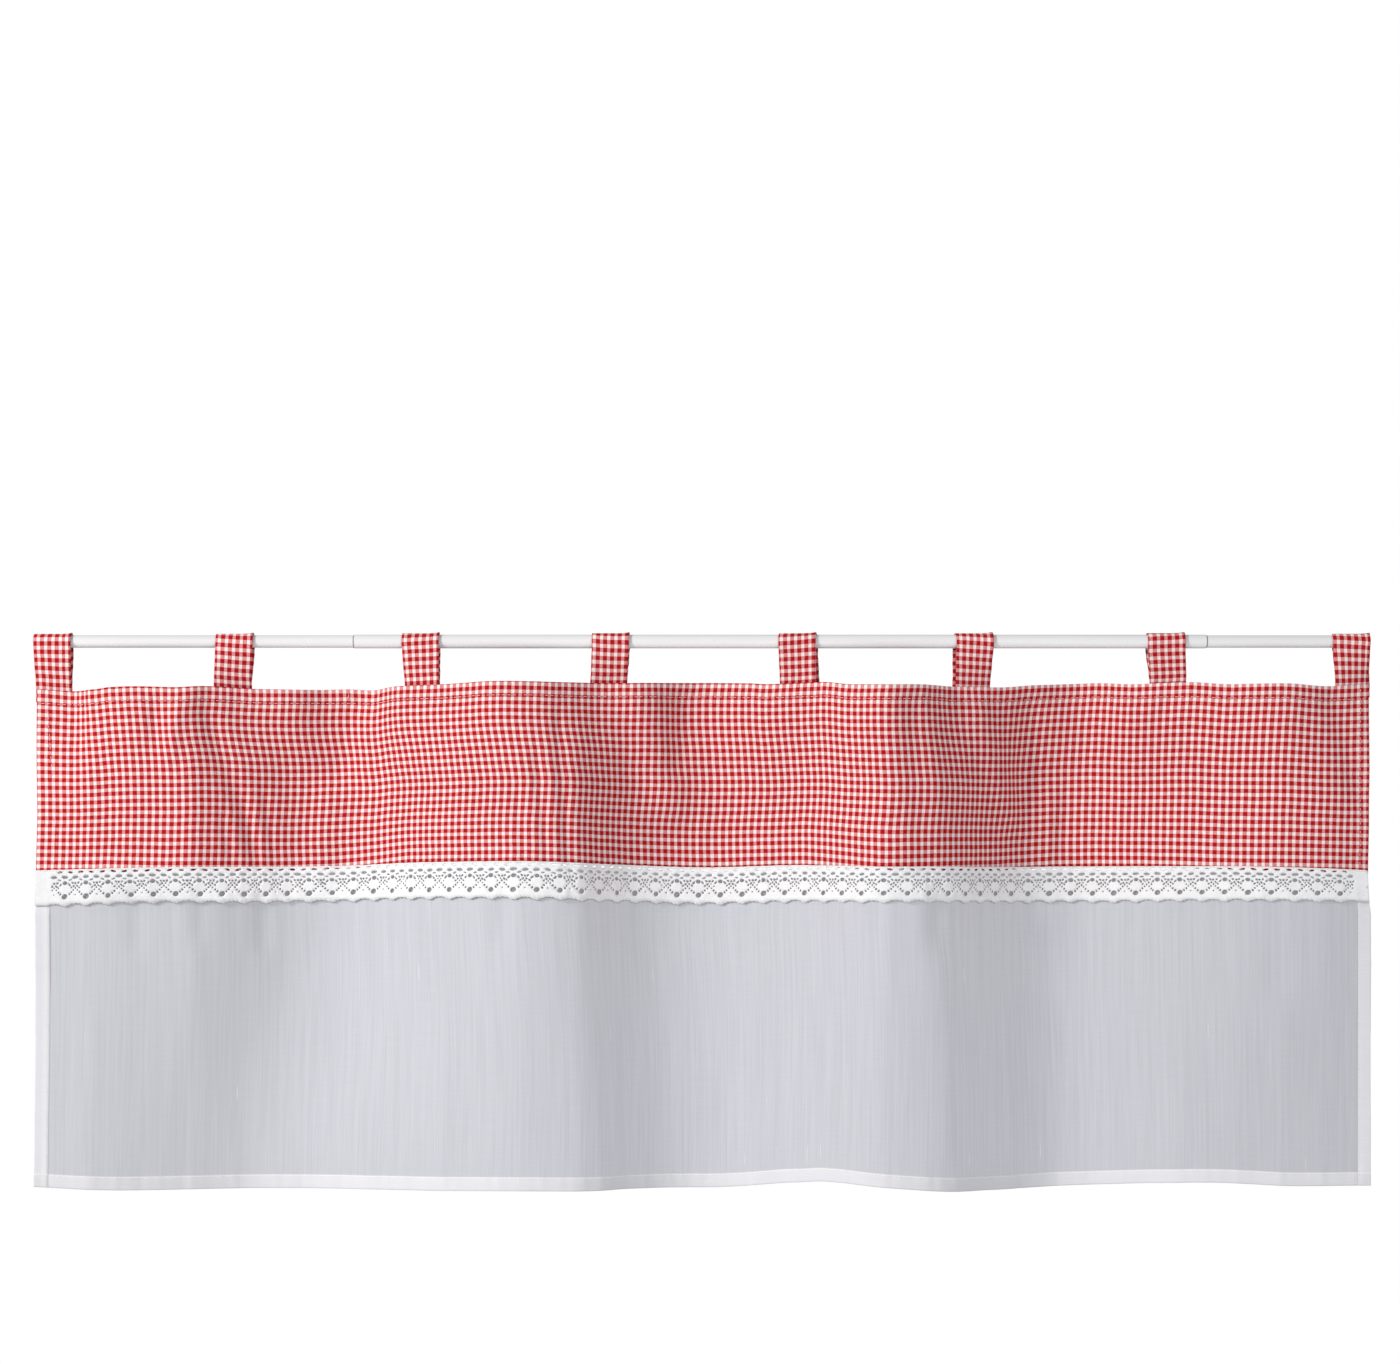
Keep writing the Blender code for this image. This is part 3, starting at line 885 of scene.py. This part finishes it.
LACE_PITCH = 0.0185
LACE_FIRST = 0.0255
HALF_MOTIF = 9.25
LACE_MEAN_FOOT = 0.0289
OUTLINE_STEPS = 30
LACE_CELL = 0.002
PLAIN_END = 0.0125
LACE_FORWARD = 0.0012
LACE_FOOT_FORWARD = 0.0009
# Holes of one motif, in millimetres and degrees, down from the lace's top edge.
# Those off the two axes are mirrored.
HOLES = Table(
    "across down long wide tilt",
    (4.6, 2.6, 4.4, 1.6, 8), (0, 6.6, 5.2, 2.2, 0), (9.25, 6.6, 5.2, 2.2, 0),
    (4.6, 8.8, 3.2, 1.3, -12), (0, 11.4, 4, 3, 0), (9.25, 11.6, 2.2, 1.9, 0),
    (6.7, 11.3, 2.4, 1.5, 40), (3.7, 12.6, 2.9, 1.5, 45), (7.6, 13.8, 2.3, 1.5, -45),
    (5.6, 15, 2.2, 1.4, -40), (9.25, 15.4, 1.4, 1.8, 0), (7.4, 17, 1.5, 1.3, 45),
    (5.6, 18.8, 1.8, 1.5, 45), (3.8, 20.5, 2, 1.6, 45), (0, 22.4, 4.7, 3.9, -20),
    (9.25, 20.9, 1.2, 1.1, 0),
)


def lean_of(tilt):
    """The cosine and sine of a tilt in degrees."""
    return math.cos(math.radians(tilt)), math.sin(math.radians(tilt))


def hole_loop(across, down, length, width, tilt):
    """An oval of points, in metres on the flat lace."""
    corners = 14 if length > 3.2 else 8
    angles = np.arange(corners) * TAU / corners
    x, y = 0.5 * length * np.cos(angles), 0.5 * width * np.sin(angles)
    c, s = lean_of(tilt)
    return np.stack([across + x * c - y * s, down + x * s + y * c], axis=-1) / 1000


def in_hole(places, across, down, length, width, tilt):
    """Which places on the flat lace are in a hole or close to its rim."""
    x, y = places[:, 0] * 1000 - across, places[:, 1] * 1000 - down
    c, s = lean_of(tilt)
    along, aside = x * c + y * s, y * c - x * s
    return np.hypot(along / (length / 2 + 0.5), aside / (width / 2 + 0.5)) < 1


def lace_holes():
    """Every hole of the lace: middle, length, width and tilt."""
    holes = []
    motifs = math.ceil(FLAT_WIDTH / LACE_PITCH) + 1
    low, high = PLAIN_END * 1000, (FLAT_WIDTH - PLAIN_END) * 1000
    for motif in range(-1, motifs):
        middle = (LACE_FIRST + motif * LACE_PITCH) * 1000
        for across, down, length, width, tilt in HOLES.rows:
            sides = (1,) if across in (0.0, HALF_MOTIF) else (1, -1)
            for side in sides:
                aside, below, lean = rng.uniform((-0.25, -0.18, -9), (0.25, 0.18, 9))
                size = rng.uniform(0.94, 1.16)
                at = middle + side * across + aside
                if low < at - length / 2 and at + length / 2 < high:
                    turned = tilt * side + lean
                    holes.append((at, down + below, length * size, width * size, turned))
    return holes


def lace_foot(x):
    """The lace's scalloped lower outline, measured from its top edge."""
    phase = (x - LACE_FIRST) / LACE_PITCH
    scallop = 0.001 * np.cos(TAU * phase) + 0.00025 * np.cos(4 * math.pi * phase)
    picots = 0.00022 * np.sin(TAU * phase * 5 + np.sin(phase * 5))
    ends = ease((np.minimum(x, FLAT_WIDTH - x) - 0.006) / 0.008)
    return LACE_MEAN_FOOT + (scallop + picots + 0.0004 * ripple(x, 0.033, 12)) * ends


def lace_edges():
    """The lace's upper and lower outline, each from left to right."""
    x = np.linspace(0, FLAT_WIDTH, round(FLAT_WIDTH / LACE_PITCH * OUTLINE_STEPS))
    upper = 0.0002 + 0.00022 * ripple(x, LACE_PITCH / 2, 11)
    return np.stack([x[::5], upper[::5]], axis=-1), np.stack([x, lace_foot(x)], axis=-1)


def make_lace():
    """The lace edging: one sheet with every hole cut through it."""
    holes = lace_holes()
    upper, lower = lace_edges()
    loops = [np.concatenate([upper, lower[::-1]]), *(hole_loop(*hole) for hole in holes)]
    edges, owner = [], []
    for number, loop in enumerate(loops):
        ring = range(len(owner), len(owner) + len(loop))
        edges.extend(zip(ring, (*ring[1:], ring[0])))
        owner.extend([number] * len(loop))
    spread = np.mgrid[0.001:FLAT_WIDTH:LACE_CELL, 0.0015 : LACE_HEIGHT - 0.0045 : LACE_CELL]
    spread = spread.reshape(2, -1).T
    for hole in holes:
        spread = spread[~in_hole(spread, *hole)]
    owner.extend([0] * len(spread))
    points = [mathutils.Vector(place) for place in np.concatenate([*loops, spread]).tolist()]
    made = mathutils.geometry.delaunay_2d_cdt(points, edges, [], 0, 1e-6)
    verts = np.array([tuple(v) for v in made[0]])
    origin = [{owner[i] for i in group} for group in made[3]]
    faces = []
    for face in made[2]:
        across, down = verts[list(face)].mean(axis=0)
        inside = np.interp(across, *upper.T) < down < np.interp(across, *lower.T)
        if inside and not any(set.intersection(*(origin[i] for i in face))):
            faces.append(face)
    across, down = np.clip(verts[:, 0] / FLAT_WIDTH, 0, 1), verts[:, 1]
    low = ease(down / LACE_HEIGHT)
    curl = 0.0003 * ripple(verts[:, 0], 0.013, 14) * low
    forward = LACE_FORWARD + LACE_FOOT_FORWARD * low - curl
    base = lay_line(across, lambda x: edge("lace", x), -forward)
    top_depth = fold_depth(base[:, 0], base[:, 2])
    base[:, 2] -= down * REACH.straight("share", across)
    base[:, 1] += top_depth - fold_depth(base[:, 0], base[:, 2])
    faces = np.array(faces)
    used, places = np.unique(faces, return_inverse=True)
    material = cotton("lace_cotton", LACE_WHITE, 1500.0, lace=True)
    corners = places.reshape(faces.shape).tolist()
    ob = new_piece("lace_edging", material, base[used].tolist(), [], corners)
    set_cloth_uv(ob, place_uv(*verts.T)[faces.ravel()])
    thicken(ob, LACE_THICK, even=False)
    stand_for("lace_trim")
    return ob


# ---- voile

VOILE_COLUMNS = 400
VOILE_STITCH_IN = 0.001


def voile_height(drop):
    """Height at x of a line this far below the voile's top edge."""

    def height(x):
        top = edge("lace", x) - VOILE_DROP
        return top + (edge("bottom", x) - top) * drop / VOILE_TALL

    return height


def voile_mask(across, drop):
    """Red: the hems. Green: their ridges. Blue: painted shade beside the hems, along the lower
    edge and behind the lace.
    """
    x = across * FLAT_WIDTH
    left, right = x - VOILE_LEFT_HEM, FLAT_WIDTH - x - VOILE_RIGHT_HEM
    low = VOILE_TALL - drop - VOILE_HEM
    layers = np.maximum(ease(0.5 - left / 0.0006), ease(0.5 - right / 0.0006))
    layers = np.maximum(layers, ease(0.5 - low / 0.0006))
    ridge = np.maximum(0.8 * near(left + 0.0034, 0.0012), 0.5 * near(right + 0.0008, 0.0005))
    ridge = np.maximum(ridge, 0.9 * near(low + 0.0003, 0.0006))
    # Painted shade: thin dark lines beside the side hems' inner edges (darker near the top on the
    # left), at the right edge and along the lower edge.
    shown = ease((drop - LACE_HEIGHT + 0.004) / 0.004)
    upper = 0.28 + 0.36 * ease((0.105 - drop) / 0.02)
    seam = 0.36 * near(VOILE_TALL - drop, 0.0005)
    places = (left - 0.0005, right - 0.0003, FLAT_WIDTH - x)
    for at, width, dark in zip(places, (0.0005, 0.0004, 0.0007), (upper, 0.28, 0.28)):
        seam = np.maximum(seam, shown * dark * near(at, width))
    # Painted shade behind the lace, so its holes look dark. It reaches just past the scallops as a
    # thin painted shadow, and there is none over the hems.
    down = VOILE_DROP + drop
    foot = lace_foot(x) * REACH.straight("share", across)
    shade = 0.18 + 0.7 * ease((down - 0.0085) / 0.003) - 0.2 * ease((down - 0.018) / 0.003)
    shade = shade * ease((foot + 0.0008 - down) / 0.0008) * ease((down - 0.005) / 0.002)
    seam = np.maximum(seam, shade * (1 - layers))
    return np.stack([layers, ridge, seam, np.ones_like(x)], axis=-1)


def voile_relief(across, drop):
    """How far behind the fold the voile lies."""
    x = across * FLAT_WIDTH
    lap = 0.0014 * (1 - ease((drop - VOILE_DROP) / VOILE_FORWARD_DROP))
    low = VOILE_TALL - drop - VOILE_HEM
    pull = near(low + VOILE_STITCH_IN, 0.0008) * np.ones_like(x)
    raised = ease(0.5 - low / 0.0006) * np.ones_like(x)
    side = np.minimum(x, FLAT_WIDTH - x)
    inward = np.minimum(x - VOILE_LEFT_HEM, FLAT_WIDTH - VOILE_RIGHT_HEM - x)
    pull = np.maximum(pull, near(inward + VOILE_STITCH_IN, 0.0008))
    raised += ease(0.5 - inward / 0.0006)
    pucker = 0.0005 * ripple(x, 0.012, 21) * near(low + VOILE_STITCH_IN, 0.013)
    pucker += 0.0006 * ripple(x, 0.024, 22) * near(drop, 0.05)
    pucker += 0.0005 * ripple(drop, 0.018, 23) * near(side, 0.014)
    soft = 0.0007 * ripple(x, 0.047, 24) * ease((drop - 0.05) / 0.1)
    tilt = 0.17 * np.maximum(x - FLAT_WIDTH + VOILE_RIGHT_HEM, 0)
    tilt += 0.12 * np.maximum(VOILE_LEFT_HEM - x, 0)
    tilt *= ease((drop - 0.022) / 0.012)
    return lap + 0.00015 * pull - 0.0004 * raised + pucker + soft - tilt


def make_voile():
    """The sheer panel, its sides and its lower edge turned back as hems."""
    foot = np.arange(0.0225, 0.03, 0.0004)
    upper = np.arange(0.034, VOILE_TALL - VOILE_HEM - 0.003, 0.005)
    upper = np.concatenate([np.arange(0.0, 0.02, 0.005), foot, upper])
    hem = VOILE_TALL - VOILE_HEM - SEAM_FINE[::-1]
    inner = np.linspace(VOILE_TALL - VOILE_HEM + 0.0026, VOILE_TALL - 0.0012, 5)
    behind = VOILE_TALL + VOILE_HEM * BEHIND_STEPS[::-1]
    rows = [upper, hem, inner, VOILE_TALL - TURN_FINE[::-1], behind]
    places = hem_columns(VOILE_LEFT_HEM, VOILE_RIGHT_HEM, VOILE_COLUMNS)
    across, behind_sides = hemmed(places)
    points, flat, mask = [], [], []
    for row in np.concatenate(rows):
        inward, behind_low = turn(VOILE_TALL - row)
        drop = VOILE_TALL - inward
        behind = behind_sides + behind_low
        relief = voile_relief(across, drop)
        relief = np.where(behind > TURN_RADIUS, relief + 0.0004, relief)
        points.append(lay_line(across, voile_height(drop), behind + relief))
        flat.append(place_uv(places, row))
        mask.append(voile_mask(across, drop))
    ob = grid_piece("voile_cloth", points, flat, voile_material())
    colours = ob.data.color_attributes.new("hem_and_shade_mask", "FLOAT_COLOR", "POINT")
    colours.data.foreach_set("color", np.stack(mask).astype(np.float32).ravel())
    stand_for("voile_panel")
    return ob


# ---- rod


def turned(name, profile, closed, material):
    """A profile of (radius, along) turned about the rod's axis."""
    edges = [(i, i + 1) for i in range(len(profile) - 1)]
    if closed:
        edges.append((len(profile) - 1, 0))
    ob = new_piece(name, material, [(r, 0, z) for r, z in profile], edges, [])
    ob.rotation_euler = (0, math.pi / 2, 0)
    screw = ob.modifiers.new("Turn", "SCREW")
    fill(screw, steps=72, render_steps=72, use_smooth_shade=True)
    fill(screw, use_merge_vertices=True, merge_threshold=0.00001)
    bevel = ob.modifiers.new("Edges", "BEVEL")
    fill(bevel, width=TUBE_EDGE, segments=3, limit_method="ANGLE", harden_normals=True)
    return ob


def make_rod():
    """The thick middle tube and the thin tubes that slide in its ends."""
    material = rod_material()
    bore = INNER_RADIUS + TUBE_PLAY
    inside = INNER_RADIUS - TUBE_WALL

    def thin_tube(closed_end, plug_face, open_end):
        radii = (0, inside, inside, INNER_RADIUS, INNER_RADIUS, 0)
        return list(zip(radii, (plug_face, plug_face, open_end, open_end, closed_end, closed_end)))

    radii = (bore, MIDDLE_RADIUS, MIDDLE_RADIUS, bore)
    middle = list(zip(radii, (MIDDLE_TO, MIDDLE_TO, MIDDLE_FROM, MIDDLE_FROM)))
    left = thin_tube(0, ROD_PLUG, MIDDLE_FROM + TUBE_OVERLAP)
    right = thin_tube(ROD_LENGTH, ROD_LENGTH - ROD_PLUG, MIDDLE_TO - TUBE_OVERLAP)[::-1]
    for side, profile in (("middle", middle), ("left", left), ("right", right)):
        ob = turned(f"rod_{side}_tube", profile, side == "middle", material)
        stand_for(f"rod_{side}")


# ---- threads

BAND_THREAD = 0.0002
LACE_THREAD = 0.00018
VOILE_THREAD = 0.00016
ON_BAND = 0.0002
ON_LACE = 0.00055
ON_VOILE = 0.00006
LACE_STITCH_DROP = 0.0011
LOOSE_LOOP = 0.2516


def on_band(across, drop):
    """Points just in front of the band."""
    return lay_line(across, band_height(drop), band_relief(across, drop) - ON_BAND)


def on_voile(across, drop):
    """Points just in front of the voile."""
    return lay_line(across, voile_height(drop), voile_relief(across, drop) - ON_VOILE)


def down_line(on_cloth, shares, drops):
    """Points down a line on a cloth, from paired shares and drops."""
    return np.array([on_cloth(np.array([share]), drop)[0] for share, drop in zip(shares, drops)])


def loose_end():
    """A thread that curls out of the header."""
    t = np.linspace(0, 1, 14)
    aside, forward, down = 0.0007 * np.sin(5.2 * t), 0.0008 + 0.001 * np.sin(3 * t), 0.0036 * t
    x = XS[np.argmin(np.abs(XS - LOOSE_LOOP))]
    header = edge("header", x)
    start = np.array([x, -fold_depth(x, header), header - 0.004])
    return start + np.stack([aside, -forward, -down], axis=-1)


def make_threads():
    """The stitching, as short tubes of thread, and a loose end."""
    across = np.linspace(0.002, 0.998, 3000)
    header = on_band(across, BAND_HEM - BAND_STITCH_IN)
    header[:, 2] += 0.0003 * ripple(across * FLAT_WIDTH, 0.07, 31)
    band_paths = stitches(header, length=0.0033, gap=0.001)
    drops = np.linspace(0.002, BAND_TALL - 0.004, 260)
    for side in (0, 1):
        at = np.array([side_hems(drop)[side] for drop in drops]) - BAND_STITCH_IN
        shares = 1 - at / FLAT_WIDTH if side else at / FLAT_WIDTH
        band_paths += stitches(down_line(on_band, shares, drops), gap=0.0012)
    band_paths.append(loose_end())

    forward = np.full_like(across, LACE_FORWARD + ON_LACE)
    line = lay_line(across, lambda x: edge("lace", x) - LACE_STITCH_DROP, -forward)
    lace_paths = stitches(line, length=0.0019)

    voile_paths = stitches(on_voile(across, VOILE_TALL - VOILE_HEM + VOILE_STITCH_IN))
    drops = np.linspace(0.034, VOILE_TALL - 0.001, 420)
    left = (VOILE_LEFT_HEM - VOILE_STITCH_IN) / FLAT_WIDTH
    right = (VOILE_RIGHT_HEM - VOILE_STITCH_IN) / FLAT_WIDTH
    for share in (left, 1 - right):
        voile_paths += stitches(down_line(on_voile, [share] * len(drops), drops))

    pink = cotton("band_thread", THREAD_PINK, 2500.0)
    white = cotton("sewing_thread", THREAD_WHITE, 2500.0)
    threads = (
        thread_piece("band_stitches", band_paths, BAND_THREAD, pink),
        thread_piece("lace_stitches", lace_paths, LACE_THREAD, white),
        thread_piece("voile_stitches", voile_paths, VOILE_THREAD, white),
    )
    return threads


# ---- stage

FLOOR_Z = -1.22
FLOOR_TONES = ((0.8, 0.8, 0.8), (0.84, 0.84, 0.84))
# The light of the surround, and what the camera sees of it: colour, strength.
SURROUND = (((0.96, 0.98, 1.0), 0.42), (WHITE, 1.0))
LIGHT_TARGET = (0.54, 0.0, -0.2)
# Lights: name, place, size, power and colour.
LIGHTS = (
    ("key", (-1.6, -1.7, 0.85), 0.6, 62.0, (1.0, 0.985, 0.97)),
    ("fill", (1.9, -2.3, 0.4), 1.6, 16.0, (0.97, 0.985, 1.0)),
)
CAMERA_PLACE = (0.5388, -2.2, -0.2188)
CAMERA_LENS = 69.93
CAMERA_SHIFT = 0.1643


def make_floor():
    """A plain pale floor."""
    bpy.ops.mesh.primitive_plane_add(size=6.0, location=(0.54, 0.0, FLOOR_Z))
    floor = bpy.context.active_object
    floor.name = "floor"
    n = Nodes("floor_pale")
    place = n.on_object()
    n.finish(n.mix(n.noise(place, 3.0), *FLOOR_TONES), 0.8, n.noise(place, 60.0), 0.001, 0.1)
    floor.data.materials.append(n.material)


def make_surround():
    """Soft light from all round, and plain white behind the curtain."""
    scene.world = scene.world or bpy.data.worlds.new("surround")
    n = Nodes("surround", scene.world)
    seen = n.add("LightPath").outputs["Is Camera Ray"]
    shaders = [
        n.add("Background", Color=colour, Strength=strength).outputs[0]
        for colour, strength in SURROUND
    ]
    n.show(n.mix_shaders(seen, *shaders))


def make_lights():
    """A soft key from the left and a fill from the right."""
    for name, at, size, power, colour in LIGHTS:
        data = bpy.data.lights.new(name, "AREA")
        fill(data, shape="SQUARE", size=size, energy=power, color=colour)
        lamp = new_object(name, data)
        lamp.location = at
        aim = mathutils.Vector(LIGHT_TARGET) - lamp.location
        lamp.rotation_euler = aim.to_track_quat("-Z", "Y").to_euler()


def make_camera():
    """A camera square to the curtain, framed as the photograph is."""
    data = bpy.data.cameras.new("camera")
    fill(data, lens=CAMERA_LENS, sensor_width=36.0, shift_y=CAMERA_SHIFT, clip_end=50.0)
    scene.camera = new_object("camera", data)
    fill(scene.camera, location=CAMERA_PLACE, rotation_euler=(math.pi / 2, 0, 0))
    fill(scene.view_settings, view_transform="Standard", look="None")


# ---- main

make_floor()
make_surround()
make_lights()
make_camera()
make_rod()
band = make_band()
tabs = [make_tab(number, row) for number, row in enumerate(TABS.rows, 1)]
lace = make_lace()
voile = make_voile()
band_thread, lace_thread, voile_thread = make_threads()
